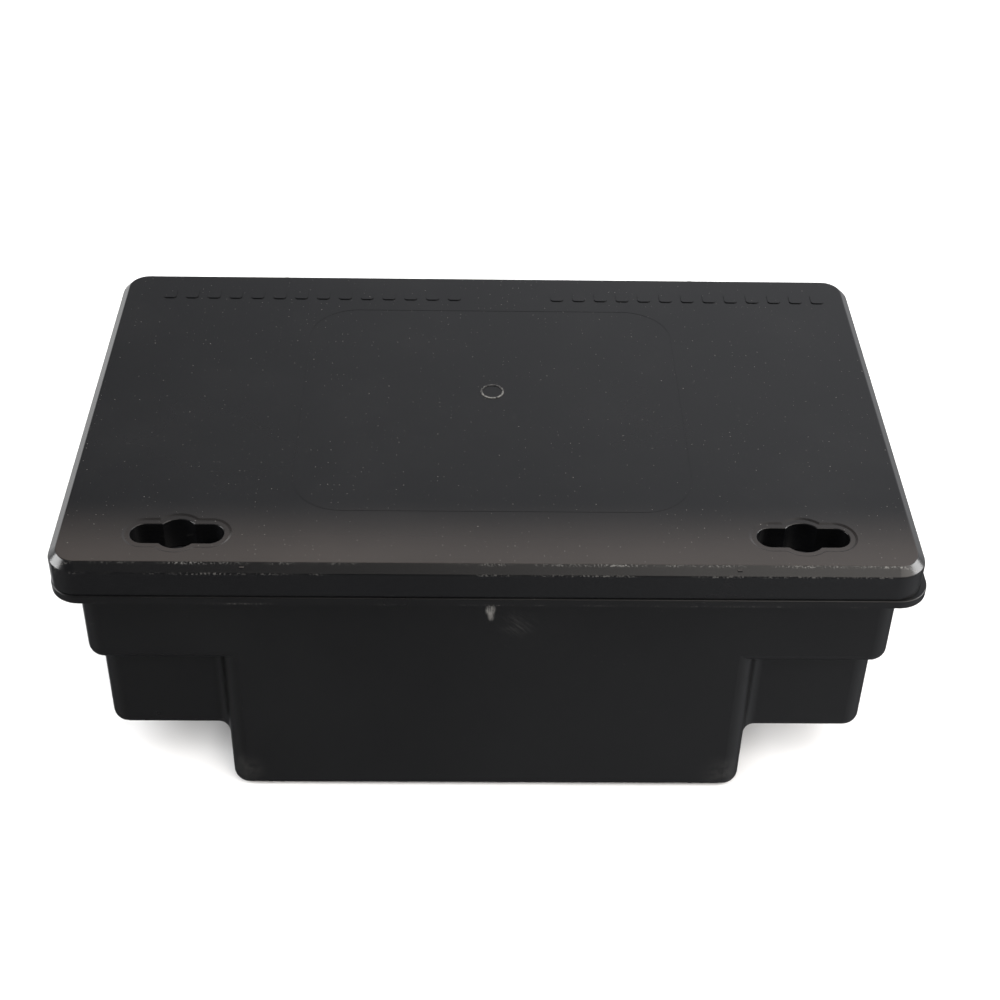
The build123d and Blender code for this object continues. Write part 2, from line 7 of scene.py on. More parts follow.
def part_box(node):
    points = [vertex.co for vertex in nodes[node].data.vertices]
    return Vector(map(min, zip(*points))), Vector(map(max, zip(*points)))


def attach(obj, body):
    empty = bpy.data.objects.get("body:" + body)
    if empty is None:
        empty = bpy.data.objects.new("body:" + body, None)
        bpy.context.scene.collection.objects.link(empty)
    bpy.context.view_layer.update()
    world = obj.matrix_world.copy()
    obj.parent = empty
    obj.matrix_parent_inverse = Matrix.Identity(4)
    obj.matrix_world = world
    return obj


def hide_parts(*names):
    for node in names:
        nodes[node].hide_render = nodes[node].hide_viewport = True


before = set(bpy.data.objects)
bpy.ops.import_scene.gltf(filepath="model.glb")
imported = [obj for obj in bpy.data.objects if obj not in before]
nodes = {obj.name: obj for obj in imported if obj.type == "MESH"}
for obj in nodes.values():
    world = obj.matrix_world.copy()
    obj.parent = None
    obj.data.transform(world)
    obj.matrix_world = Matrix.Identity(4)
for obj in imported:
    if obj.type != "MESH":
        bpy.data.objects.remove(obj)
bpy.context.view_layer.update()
scene = bpy.context.scene
print("frame loaded:", len(nodes), "nodes")

# the station seen from the front, a little above
cameraSettings = {
    "place": (-0.0100, -0.5622, 0.5588),   # metres
    "pitch": 37.12,                        # degrees below level
    "turn": -1.425,                        # degrees, clockwise is negative
    "tilt": 1.341,                         # degrees, horizon falls to the right
    "lens": 62.82,
    "shift": -0.10,
}


def addCamera(s):
    # right = (cos t, sin t, 0); forward = level heading turned down by the pitch; both then roll by the tilt
    turn, pitch, tilt = (math.radians(s[k]) for k in ("turn", "pitch", "tilt"))
    heading = Vector((-math.sin(turn), math.cos(turn), 0))
    right = Vector((math.cos(turn), math.sin(turn), 0))
    forward = heading * math.cos(pitch) - Vector((0, 0, 1)) * math.sin(pitch)
    up = heading * math.sin(pitch) + Vector((0, 0, 1)) * math.cos(pitch)
    across = right * math.cos(tilt) + up * math.sin(tilt)
    upward = up * math.cos(tilt) - right * math.sin(tilt)
    camera = bpy.data.objects.new("camera", bpy.data.cameras.new("camera"))
    turned = Matrix((across, upward, -forward)).transposed().to_4x4()
    camera.matrix_world = Matrix.Translation(s["place"]) @ turned
    camera.data.sensor_width = 36
    camera.data.lens = s["lens"]
    camera.data.shift_y = s["shift"]
    camera.data.clip_end = 20
    scene.collection.objects.link(camera)
    scene.camera = camera


addCamera(cameraSettings)
print("camera placed")


def newMaterial(name):
    material = bpy.data.materials.new(name)
    material.use_nodes = True
    tree = material.node_tree
    return material, tree, tree.nodes["Principled BSDF"]


def addNode(tree, kind, inputs=None, **settings):
    node = tree.nodes.new(kind)
    for key, value in settings.items():
        setattr(node, key, value)
    for key, value in (inputs or {}).items():
        node.inputs[key].default_value = value
    return node


def feed(tree, socket, value):
    # a socket takes either another socket's output or a plain value
    if isinstance(value, bpy.types.NodeSocket):
        tree.links.new(value, socket)
    else:
        socket.default_value = value


def maths(tree, operation, a, b=0.0, c=0.0, clamp=False):
    node = addNode(tree, "ShaderNodeMath", operation=operation, use_clamp=clamp)
    for socket, value in zip(node.inputs, (a, b, c)):
        feed(tree, socket, value)
    return node.outputs[0]


def times(tree, first, *others):
    # product of all the values, taken from the left
    for other in others:
        first = maths(tree, "MULTIPLY", first, other)
    return first


def blend(tree, factor, low, high):
    # colour = low + factor * (high - low)
    node = addNode(tree, "ShaderNodeMix", data_type="RGBA")
    for name, value in (("Factor", factor), ("A", low), ("B", high)):
        if isinstance(value, tuple):
            value = (*value, 1.0)
        feed(tree, node.inputs[name], value)
    return node.outputs["Result"]


def ramp(tree, value, low, high, start=0.0, end=1.0, smooth=True):
    # start below low, end above high, eased between
    node = addNode(tree, "ShaderNodeMapRange", interpolation_type="SMOOTHSTEP" if smooth else "LINEAR")
    names = ("Value", "From Min", "From Max", "To Min", "To Max")
    for name, given in zip(names, (value, low, high, start, end)):
        feed(tree, node.inputs[name], given)
    return node.outputs[0]


def noise(tree, vector, scale, detail=3.0, roughness=0.55):
    node = addNode(tree, "ShaderNodeTexNoise", {"Detail": detail, "Roughness": roughness, "Distortion": 0.0})
    feed(tree, node.inputs["Vector"], vector)
    feed(tree, node.inputs["Scale"], scale)
    return node.outputs["Fac"]


def stretch(tree, vector, scale, turn=(0.0, 0.0, 0.0)):
    # turned first, then scaled along the turned axes
    scale = tuple(1.0 / k for k in scale)
    node = addNode(tree, "ShaderNodeMapping", {"Scale": scale, "Rotation": turn}, vector_type="TEXTURE")
    feed(tree, node.inputs["Vector"], vector)
    return node.outputs["Vector"]


def squaredBell(tree, value, at, width):
    # exp(-((value - at) / width)^2)
    away = maths(tree, "DIVIDE", maths(tree, "SUBTRACT", value, at), width)
    return maths(tree, "EXPONENT", times(tree, away, away, -1.0))


def newGroup(name, inputs, outputs):
    # inputs: socket name to (socket type, start value); outputs: socket name to socket type
    group = bpy.data.node_groups.new(name, "ShaderNodeTree")
    for title, (kind, value) in inputs.items():
        socket = group.interface.new_socket(title, in_out="INPUT", socket_type=kind)
        if value is not None:
            socket.default_value = value
    for title, kind in outputs.items():
        group.interface.new_socket(title, in_out="OUTPUT", socket_type=kind)
    return group, group.nodes.new("NodeGroupInput").outputs, group.nodes.new("NodeGroupOutput").inputs


def placeGroup(tree, group, values=None):
    node = tree.nodes.new("ShaderNodeGroup")
    node.node_tree = group
    for key, value in (values or {}).items():
        feed(tree, node.inputs[key], value)
    return node.outputs


def buildMouldGrain():
    # height = fine satin grain + long soft waves of the moulded skin; tone = slow mottling
    group, given, result = newGroup("mouldGrain", {
        "Vector": ("NodeSocketVector", None),
        "Grain Scale": ("NodeSocketFloat", 2600.0),
        "Wave Scale": ("NodeSocketFloat", 22.0),
        "Grain Share": ("NodeSocketFloat", 0.06),
        "Wave Share": ("NodeSocketFloat", 0.5),
    }, {"Height": "NodeSocketFloat", "Tone": "NodeSocketFloat"})
    grain = noise(group, given["Vector"], given["Grain Scale"], 3.0, 0.6)
    wave = noise(group, given["Vector"], given["Wave Scale"], 1.0, 0.4)
    fine = maths(group, "MULTIPLY", grain, given["Grain Share"])
    total = maths(group, "MULTIPLY_ADD", wave, given["Wave Share"], fine)
    group.links.new(total, result["Height"])
    group.links.new(noise(group, given["Vector"], 9.0, 5.0, 0.58), result["Tone"])
    return group


def buildDust():
    # specks = random flat cells whose middle is nearer than a small random radius; film = soft cloudy
    # patches; both only on faces that look up
    group, given, result = newGroup("dust", {
        "Vector": ("NodeSocketVector", None),
        "Speck Scale": ("NodeSocketFloat", 260.0),
        "Share": ("NodeSocketFloat", 0.12),
        "Size": ("NodeSocketFloat", 0.06),
    }, {"Specks": "NodeSocketFloat", "Film": "NodeSocketFloat", "Up": "NodeSocketFloat"})
    facing = addNode(group, "ShaderNodeSeparateXYZ")
    group.links.new(addNode(group, "ShaderNodeNewGeometry").outputs["Normal"], facing.inputs[0])
    up = ramp(group, facing.outputs["Z"], 0.80, 0.97)

    cells = addNode(group, "ShaderNodeTexVoronoi", {"Randomness": 1.0}, voronoi_dimensions="2D",
                    feature="F1")
    feed(group, cells.inputs["Vector"], given["Vector"])
    feed(group, cells.inputs["Scale"], given["Speck Scale"])
    pick = addNode(group, "ShaderNodeSeparateColor")
    group.links.new(cells.outputs["Color"], pick.inputs["Color"])
    chosen = maths(group, "LESS_THAN", pick.outputs["Red"], given["Share"])
    radius = maths(group, "MULTIPLY", maths(group, "POWER", pick.outputs["Green"], 2.0), given["Size"])
    spot = maths(group, "LESS_THAN", cells.outputs["Distance"], radius)
    lit = times(group, chosen, spot, up)
    pale = ramp(group, pick.outputs["Blue"], 0.0, 1.0, 0.25, 1.0, False)
    group.links.new(maths(group, "MULTIPLY", lit, pale), result["Specks"])
    cloud = ramp(group, noise(group, given["Vector"], 14.0, 6.0, 0.64), 0.42, 0.74)
    group.links.new(maths(group, "MULTIPLY", cloud, up), result["Film"])
    group.links.new(up, result["Up"])
    return group


def buildScratches():
    # fine strokes: long thin random cells, bent a little, kept near their middles, laid three ways
    group, given, result = newGroup("scratches", {
        "Vector": ("NodeSocketVector", None),
        "Fineness": ("NodeSocketFloat", 520.0),
        "Share": ("NodeSocketFloat", 0.06),
    }, {"Mask": "NodeSocketFloat"})
    waver = addNode(group, "ShaderNodeTexNoise", {"Scale": 60.0, "Detail": 1.0})
    group.links.new(given["Vector"], waver.inputs["Vector"])
    bend = addNode(group, "ShaderNodeVectorMath", {1: (0.004, 0.004, 0.004)}, operation="MULTIPLY")
    group.links.new(waver.outputs["Color"], bend.inputs[0])
    bent = addNode(group, "ShaderNodeVectorMath", operation="ADD")
    group.links.new(given["Vector"], bent.inputs[0])
    group.links.new(bend.outputs[0], bent.inputs[1])
    total = 0.0
    for turn in ((0.0, 0.3, 0.7), (0.4, -0.5, -0.5), (-0.2, 0.8, 1.9)):
        cells = addNode(group, "ShaderNodeTexVoronoi", {"Randomness": 1.0}, feature="F1")
        group.links.new(stretch(group, bent.outputs[0], (0.055, 1.0, 1.0), turn), cells.inputs["Vector"])
        group.links.new(given["Fineness"], cells.inputs["Scale"])
        pick = addNode(group, "ShaderNodeSeparateColor")
        group.links.new(cells.outputs["Color"], pick.inputs["Color"])
        chosen = maths(group, "LESS_THAN", pick.outputs["Red"], given["Share"])
        core = ramp(group, cells.outputs["Distance"], 0.05, 0.16, 1.0, 0.0)
        faint = times(group, chosen, core, pick.outputs["Green"])
        total = maths(group, "MAXIMUM", faint, total)
    group.links.new(total, result["Mask"])
    return group


mouldGrain = buildMouldGrain()
dust = buildDust()
scratches = buildScratches()


def spotMask(tree, vector, s):
    # 1 inside an ellipsoid round a place, easing out at its edge, eaten away by noise
    shift = addNode(tree, "ShaderNodeVectorMath", {1: s["place"]}, operation="SUBTRACT")
    feed(tree, shift.inputs[0], vector)
    scaled = addNode(tree, "ShaderNodeVectorMath", {1: s["size"]}, operation="DIVIDE")
    tree.links.new(shift.outputs[0], scaled.inputs[0])
    length = addNode(tree, "ShaderNodeVectorMath", operation="LENGTH")
    tree.links.new(scaled.outputs[0], length.inputs[0])
    inside = ramp(tree, length.outputs["Value"], s["core"], 1.0, 1.0, 0.0)
    laid = stretch(tree, vector, s["streak"], (0.0, s.get("lean", 0.0), 0.0))
    cut = s.get("cut", 0.5)
    rag = ramp(tree, noise(tree, laid, s["rag"], 5.0, 0.7), cut - s["soft"], cut + s["soft"])
    return times(tree, inside, rag, s["strength"])


def mouldedPlastic(name, s):
    # base colour mottled, then given painted sheen, dust film and scuffs, edge lines of painted highlight
    # and wear, painted glints on gate rings, and specks; roughness follows;
    # bump from grain, waves and scratches
    material, tree, shader = newMaterial(name)
    place = addNode(tree, "ShaderNodeTexCoord").outputs["Object"]
    parts = addNode(tree, "ShaderNodeSeparateXYZ")
    tree.links.new(place, parts.inputs[0])
    grain = placeGroup(tree, mouldGrain, {
        "Vector": place, "Grain Scale": s["grainScale"], "Wave Scale": s["waveScale"],
        "Wave Share": s["waveShare"],
    })
    specks = placeGroup(tree, dust, {
        "Vector": place, "Speck Scale": s["speckScale"], "Share": s["speckShare"], "Size": s["speckSize"],
    })
    lines = placeGroup(tree, scratches, {
        "Vector": place, "Fineness": s["scratchFineness"], "Share": s["scratchShare"],
    })
    colour = blend(tree, ramp(tree, grain["Tone"], 0.35, 0.65), s["dark"], s["light"])
    for patch in s.get("paintedSheenBands", []):
        # painted sheen: a warm lighter reflection that grows towards one side of the faces that look up
        axis = maths(tree, "MULTIPLY", parts.outputs[patch["axis"]], patch["sign"])
        near = ramp(tree, axis, patch["from"], patch["to"])
        uneven = ramp(tree, noise(tree, place, 20.0, 3.0), 0.2, 0.8, 0.82, 1.0)
        paintedSheen = times(tree, near, specks["Up"], uneven, patch["strength"])
        colour = blend(tree, paintedSheen, colour, patch["colour"])
    colour = blend(tree, maths(tree, "MULTIPLY", specks["Film"], s["film"]), colour, s["dustColour"])
    worn = maths(tree, "MULTIPLY", lines["Mask"], s["scratchStrength"])
    colour = blend(tree, worn, colour, s["scuffAndHighlightColour"])
    scuffed = 0.0
    for patch in s.get("scuffs", []):
        mask = spotMask(tree, place, patch)
        colour = blend(tree, mask, colour, s["scuffAndHighlightColour"])
        scuffed = maths(tree, "MAXIMUM", mask, scuffed)
    for patch in s.get("edgeHighlightAndWear", []):
        # painted highlight along an edge, with some edge wear: a broken pale line where one coordinate
        # passes the edge, cut up by coarse and fine noise
        bell = squaredBell(tree, parts.outputs[patch["axis"]], patch["at"], patch["width"])
        front = maths(tree, "LESS_THAN", parts.outputs["Y"], patch["frontOf"])
        fine = ramp(tree, noise(tree, place, 1500.0, 2.0), 0.48, 0.66)
        coarse = ramp(tree, noise(tree, place, 45.0, 2.0), 0.42, 0.62)
        shown = times(tree, bell, front, maths(tree, "MULTIPLY", fine, coarse), patch["strength"])
        colour = blend(tree, shown, colour, s["scuffAndHighlightColour"])
    for mark in s.get("gateGlints", []):
        # painted glint on a gate mark's raised ring: a pale broken ring where |distance from its middle -
        # radius| falls within a narrow width, brighter at the front
        away = addNode(tree, "ShaderNodeVectorMath", {1: mark["place"]}, operation="DISTANCE")
        tree.links.new(place, away.inputs[0])
        off = maths(tree, "ABSOLUTE", maths(tree, "SUBTRACT", away.outputs["Value"], mark["radius"]))
        line = ramp(tree, off, 0.3 * mark["width"], mark["width"], 1.0, 0.0)
        middle, reach = mark["place"][1], mark["radius"]
        front = ramp(tree, parts.outputs["Y"], middle - reach, middle + reach, 1.0, mark["rearShare"])
        cut = ramp(tree, noise(tree, place, 900.0, 3.0), 0.36, 0.58)
        colour = blend(tree, times(tree, line, front, cut, mark["strength"]), colour, s["scuffAndHighlightColour"])
    lit = maths(tree, "MULTIPLY", specks["Specks"], s["speckStrength"])
    colour = blend(tree, lit, colour, s["speckColour"])
    tree.links.new(colour, shader.inputs["Base Color"])
    rough = ramp(tree, grain["Tone"], 0.3, 0.7, s["roughness"][0], s["roughness"][1])
    rough = maths(tree, "MULTIPLY_ADD", scuffed, 0.3, rough)
    rough = maths(tree, "MULTIPLY_ADD", lit, 0.3, rough, True)
    tree.links.new(rough, shader.inputs["Roughness"])
    height = maths(tree, "MULTIPLY_ADD", lines["Mask"], -0.08, grain["Height"])
    for mark in s.get("witness", []):
        # soft sink line along Y
        bell = squaredBell(tree, parts.outputs["X"], mark["x"], mark["width"])
        sunk = maths(tree, "MULTIPLY", bell, specks["Up"])
        height = maths(tree, "MULTIPLY_ADD", sunk, -mark["depth"], height)
    bump = addNode(tree, "ShaderNodeBump", {"Strength": s["bump"], "Distance": s["bumpDepth"]})
    tree.links.new(height, bump.inputs["Height"])
    tree.links.new(bump.outputs["Normal"], shader.inputs["Normal"])
    shader.inputs["Specular IOR Level"].default_value = s["specular"]
    return material


blackPlastic = {
    "dark": (0.0032, 0.0033, 0.0036), "light": (0.0046, 0.0047, 0.0050),
    "dustColour": (0.060, 0.058, 0.056), "film": 0.05,
    "speckColour": (0.26, 0.25, 0.23), "speckScale": 380.0, "speckShare": 0.34, "speckSize": 0.080,
    "speckStrength": 0.42,
    # pale colour for real scratches and scuffs, also used for the painted edge highlights and gate glint
    "scuffAndHighlightColour": (0.17, 0.165, 0.155), "scratchFineness": 520.0, "scratchShare": 0.05,
    "scratchStrength": 0.10,
    "grainScale": 2600.0, "waveScale": 22.0, "waveShare": 0.4,
    "roughness": (0.22, 0.29), "bump": 0.22, "bumpDepth": 0.0004, "specular": 0.5,
}
lidFinish = dict(
    blackPlastic, dark=(0.0025, 0.0026, 0.0029), light=(0.0036, 0.0037, 0.0040), film=0.035,
    # painted warm sheen on the lid's top, growing towards its front edge
    paintedSheenBands=[{"axis": "Y", "sign": -1.0, "from": 0.058, "to": 0.094, "colour": (0.0388, 0.0333, 0.0302),
            "strength": 0.9}],
    witness=[{"x": -0.0903, "width": 0.0011, "depth": 0.05}, {"x": 0.0903, "width": 0.0011, "depth": 0.05}],
    # pale lines on the lid's front edges: painted highlight, with some edge wear
    edgeHighlightAndWear=[{"axis": "Y", "at": -0.0942, "width": 0.00032, "frontOf": 0.0, "strength": 0.62},
          {"axis": "Z", "at": 0.1267, "width": 0.00035, "frontOf": -0.09, "strength": 0.40}],
    # painted glint on the gate mark's ring, brighter at its front
    gateGlints=[{"place": (0.0010, 0.0098, 0.1300), "radius": 0.0044, "width": 0.0006, "rearShare": 0.35,
            "strength": 0.9}],
)
tubFinish = dict(
    blackPlastic, film=0.03, speckShare=0.05, roughness=(0.27, 0.35), specular=0.45,
    dark=(0.0030, 0.0030, 0.0032), light=(0.0042, 0.0043, 0.0045),
    edgeHighlightAndWear=[{"axis": "Z", "at": 0.1128, "width": 0.00035, "frontOf": -0.09, "strength": 0.22}],
    scuffs=[
        {"place": (0.0001, -0.087, 0.1000), "size": (0.0025, 0.003, 0.0036), "core": 0.4,
         "streak": (1.3, 1.0, 0.16), "rag": 1000.0, "soft": 0.14, "cut": 0.45, "strength": 0.80},
        {"place": (0.0004, -0.087, 0.0970), "size": (0.0017, 0.003, 0.0034), "core": 0.3,
         "streak": (1.3, 1.0, 0.16), "rag": 1000.0, "soft": 0.14, "cut": 0.45, "strength": 0.70},
        {"place": (0.0105, -0.087, 0.0925), "size": (0.010, 0.003, 0.009), "core": 0.1,
         "streak": (0.14, 1.0, 1.2), "lean": 0.8, "rag": 900.0, "soft": 0.12, "cut": 0.56, "strength": 0.09},
        {"place": (-0.098, -0.087, 0.010), "size": (0.010, 0.006, 0.012), "core": 0.1,
         "streak": (1.0, 1.0, 1.0), "rag": 300.0, "soft": 0.2, "strength": 0.10},
        {"place": (0.097, -0.087, 0.009), "size": (0.012, 0.006, 0.012), "core": 0.1,
         "streak": (1.0, 1.0, 1.0), "rag": 300.0, "soft": 0.2, "strength": 0.10},
    ],
)
baffleFinish = dict(
    blackPlastic, film=0.08, dark=(0.006, 0.0062, 0.0068), light=(0.009, 0.0092, 0.0098),
    roughness=(0.34, 0.44), scratchShare=0.10,
)
latchFinish = dict(
    blackPlastic, film=0.03, speckShare=0.02, dark=(0.014, 0.0145, 0.016), light=(0.020, 0.0205, 0.022),
    roughness=(0.30, 0.40), waveScale=60.0, scratchShare=0.12, scratchFineness=900.0,
)
trayFinish = dict(
    blackPlastic, film=0.35, dustColour=(0.08, 0.092, 0.088), speckColour=(0.16, 0.30, 0.30),
    dark=(0.010, 0.0105, 0.0115), light=(0.015, 0.0155, 0.0165), speckShare=0.35, speckSize=0.16,
    roughness=(0.36, 0.48), scratchShare=0.12,
)


def wireSteel(name, s):
    # metal whose grain runs along X: stretched noise drives roughness and bump, slow noise dulls the colour
    material, tree, shader = newMaterial(name)
    place = addNode(tree, "ShaderNodeTexCoord").outputs["Object"]
    drawn = noise(tree, stretch(tree, place, (0.02, 1.0, 1.0)), s["grainScale"], 4.0, 0.6)
    dull = ramp(tree, noise(tree, place, s["patchScale"], 5.0, 0.6), 0.4, 0.7)
    tree.links.new(blend(tree, dull, s["bright"], s["dull"]), shader.inputs["Base Color"])
    rough = ramp(tree, drawn, 0.3, 0.7, s["roughness"][0], s["roughness"][1])
    tree.links.new(maths(tree, "MULTIPLY_ADD", dull, s["dulling"], rough, True), shader.inputs["Roughness"])
    shader.inputs["Metallic"].default_value = 1.0
    bump = addNode(tree, "ShaderNodeBump", {"Strength": 0.3, "Distance": 0.00005})
    tree.links.new(drawn, bump.inputs["Height"])
    tree.links.new(bump.outputs["Normal"], shader.inputs["Normal"])
    return material


steels = {
    "pinSteel": {"bright": (0.58, 0.57, 0.56), "dull": (0.36, 0.35, 0.34),
        "roughness": (0.18, 0.32), "dulling": 0.15,
        "grainScale": 2400.0, "patchScale": 240.0},
    "rodSteel": {"bright": (0.60, 0.60, 0.59), "dull": (0.34, 0.36, 0.35),
        "roughness": (0.16, 0.30), "dulling": 0.22,
        "grainScale": 2000.0, "patchScale": 120.0},
    "screwSteel": {"bright": (0.56, 0.56, 0.55), "dull": (0.38, 0.38, 0.36),
        "roughness": (0.24, 0.38), "dulling": 0.12,
        "grainScale": 3200.0, "patchScale": 400.0},
    "leafSteel": {"bright": (0.44, 0.43, 0.42), "dull": (0.26, 0.24, 0.23),
        "roughness": (0.22, 0.36), "dulling": 0.15,
        "grainScale": 2600.0, "patchScale": 300.0},
}


def pressedWax(name, s):
    # wax with cracked grain: each cell is husk, meal or dyed wax, and stands highest in its middle
    material, tree, shader = newMaterial(name)
    place = addNode(tree, "ShaderNodeTexCoord").outputs["Object"]
    cells = addNode(tree, "ShaderNodeTexVoronoi", {"Scale": s["grainScale"], "Randomness": 1.0},
                    feature="F1")
    tree.links.new(place, cells.inputs["Vector"])
    pick = addNode(tree, "ShaderNodeSeparateColor")
    tree.links.new(cells.outputs["Color"], pick.inputs["Color"])
    colour = blend(tree, ramp(tree, noise(tree, place, 60.0, 4.0), 0.35, 0.65), s["wax"], s["paleWax"])
    meal = maths(tree, "LESS_THAN", pick.outputs["Red"], s["mealShare"])
    colour = blend(tree, maths(tree, "MULTIPLY", meal, 0.75), colour, s["meal"])
    husk = maths(tree, "LESS_THAN", pick.outputs["Green"], s["huskShare"])
    colour = blend(tree, maths(tree, "MULTIPLY", husk, 0.85), colour, s["husk"])
    tree.links.new(colour, shader.inputs["Base Color"])
    rough = ramp(tree, pick.outputs["Blue"], 0.0, 1.0, 0.42, 0.75, False)
    tree.links.new(rough, shader.inputs["Roughness"])
    height = maths(tree, "MULTIPLY_ADD", noise(tree, place, 900.0, 3.0), 0.4,
                   maths(tree, "MULTIPLY", cells.outputs["Distance"], -1.0))
    bump = addNode(tree, "ShaderNodeBump", {"Strength": 0.7, "Distance": 0.0004})
    tree.links.new(height, bump.inputs["Height"])
    tree.links.new(bump.outputs["Normal"], shader.inputs["Normal"])
    shader.inputs["Subsurface Weight"].default_value = 0.08
    shader.inputs["Subsurface Radius"].default_value = (0.003, 0.004, 0.004)
    return material


waxFinish = {
    "wax": (0.018, 0.095, 0.130), "paleWax": (0.032, 0.140, 0.170), "meal": (0.20, 0.23, 0.17),
    "husk": (0.14, 0.09, 0.045), "mealShare": 0.28, "huskShare": 0.10, "grainScale": 560.0,
}


def cardStock(name, s):
    # uncoated card: paper colour with fibres, a little foxing, and faint ruled lines
    material, tree, shader = newMaterial(name)
    place = addNode(tree, "ShaderNodeTexCoord").outputs["Object"]
    parts = addNode(tree, "ShaderNodeSeparateXYZ")
    tree.links.new(place, parts.inputs[0])
    fibres = noise(tree, stretch(tree, place, (0.3, 1.0, 1.0), (0.0, 0.0, 0.4)), 1400.0, 4.0, 0.65)
    stains = ramp(tree, noise(tree, place, 26.0, 5.0, 0.6), 0.5, 0.75)
    colour = blend(tree, maths(tree, "MULTIPLY", stains, 0.5), s["paper"], s["stain"])
    colour = blend(tree, maths(tree, "MULTIPLY", ramp(tree, fibres, 0.5, 0.8), 0.25), colour, s["fibre"])
    row = maths(tree, "FRACT", maths(tree, "DIVIDE", parts.outputs["Y"], s["ruling"]))
    ruled = maths(tree, "LESS_THAN", row, 0.06)
    colour = blend(tree, maths(tree, "MULTIPLY", ruled, 0.5), colour, s["line"])
    tree.links.new(colour, shader.inputs["Base Color"])
    tree.links.new(ramp(tree, fibres, 0.3, 0.7, 0.75, 0.92), shader.inputs["Roughness"])
    bump = addNode(tree, "ShaderNodeBump", {"Strength": 0.35, "Distance": 0.00006})
    tree.links.new(fibres, bump.inputs["Height"])
    tree.links.new(bump.outputs["Normal"], shader.inputs["Normal"])
    return material


cardFinish = {
    "paper": (0.40, 0.38, 0.33), "stain": (0.28, 0.25, 0.20), "fibre": (0.31, 0.29, 0.25),
    "line": (0.10, 0.14, 0.20), "ruling": 0.0075,
}


def assign(names, material):
    for name in names:
        for slot in nodes[name].material_slots:
            slot.material = material


assign(["lid"], mouldedPlastic("lidPlastic", lidFinish))
assign(["base"], mouldedPlastic("tubPlastic", tubFinish))
assign(["left_baffle", "right_baffle"], mouldedPlastic("bafflePlastic", baffleFinish))
assign(["left_latch", "right_latch", "left_latch_plate", "right_latch_plate"],
       mouldedPlastic("latchPlastic", latchFinish))
assign(["bait_tray"], mouldedPlastic("trayPlastic", trayFinish))
assign(["left_hinge_pin", "right_hinge_pin"], wireSteel("pinSteel", steels["pinSteel"]))
assign(["front_bait_rod", "rear_bait_rod"], wireSteel("rodSteel", steels["rodSteel"]))
assign(["latch_screws"], wireSteel("screwSteel", steels["screwSteel"]))
assign(["left_latch_spring", "right_latch_spring"], wireSteel("leafSteel", steels["leafSteel"]))
assign(["service_card"], cardStock("cardStock", cardFinish))
baitWax = pressedWax("baitWax", waxFinish)
print("materials made")

# pressed wax with rough faces, bored for the rods
blockSettings = {
    "count": 4, "length": 0.030, "size": 0.026, "gap": 0.003,
    "bore": 0.0029, "grooveAt": 0.25, "grooveWidth": 0.0024, "grooveDepth": 0.0012,
    "squareness": 11.0, "round": 160, "along": 110, "across": 16,
    "lumps": 0.00022, "grain": 0.00011, "endWear": 0.0010, "seed": 4,
}


def smoothNoise(rng, u, v, waves, frequency):
    # sum of sines with random whole-number turns round u and free turns along v, scaled to about -1..1
    turns = rng.integers(1, frequency, waves)
    climbs = rng.uniform(-frequency, frequency, waves)
    phases = rng.uniform(0.0, 2.0 * np.pi, waves)
    waveField = np.sin(u[..., None] * turns + v[..., None] * climbs + phases)
    return waveField.sum(axis=-1) / math.sqrt(waves)


def blockGrid(rng, s, middle):
    # a closed tube: out over one end, along the outside, in over the other end, back through the bore
    # outside radius = half / (|cos|^n + |sin|^n)^(1/n), drawn in by grooves, worn ends, lumps and grain
    half, reach = s["size"] / 2, s["length"] / 2
    ends, along, bore = s["across"], s["along"], 6
    x = np.concatenate([np.full(ends, -reach), np.linspace(-reach, reach, along), np.full(ends, reach),
                        np.linspace(reach, -reach, bore + 2)[1:-1]])
    out = np.concatenate([np.linspace(0, 1, ends, endpoint=False), np.ones(along),
                          np.linspace(1, 0, ends + 1)[1:], np.zeros(bore)])
    angle = np.linspace(0, 2 * np.pi, s["round"], endpoint=False)
    u, stationX = np.meshgrid(angle, x)
    share = np.repeat(out[:, None], s["round"], axis=1)
    n = s["squareness"]
    square = half / (np.abs(np.cos(u)) ** n + np.abs(np.sin(u)) ** n) ** (1 / n)
    v = np.linspace(0, 6.0, len(x))[:, None] + 0 * u
    lump = (smoothNoise(rng, u, v, 14, 7) * 0.5 + 0.5).clip(0, 1) * s["lumps"]
    grain = rng.random(u.shape) * s["grain"]
    groove = np.zeros_like(u)
    for place in (-1, 1):
        away = np.abs(stationX - place * s["grooveAt"] * s["length"]) / (s["grooveWidth"] / 2)
        groove += s["grooveDepth"] * (1 - np.clip((away - 0.8) / 0.4, 0, 1))
    flat = np.clip((0.80 - np.abs(np.sin(2 * u))) / 0.25, 0, 1)
    worn = s["endWear"] * np.clip(1 - (reach - np.abs(stationX)) / 0.0012, 0, 1) ** 2
    radius = s["bore"] + share * (square - s["bore"] - groove * flat - worn - lump - grain)
    inward = (share > 0) * (share < 1) * (lump + grain)
    px = stationX - np.sign(stationX) * inward + middle[0]
    return np.stack([px, middle[1] + radius * np.cos(u), middle[2] + radius * np.sin(u)], axis=-1)


def ringFaces(rows, columns, start):
    # quads between neighbouring stations; both directions close on themselves
    r, c = np.meshgrid(np.arange(rows), np.arange(columns), indexing="ij")
    right, down = (c + 1) % columns, (r + 1) % rows
    corners = (r * columns + c, r * columns + right, down * columns + right, down * columns + c)
    return np.stack([k.ravel() for k in corners], axis=-1) + start


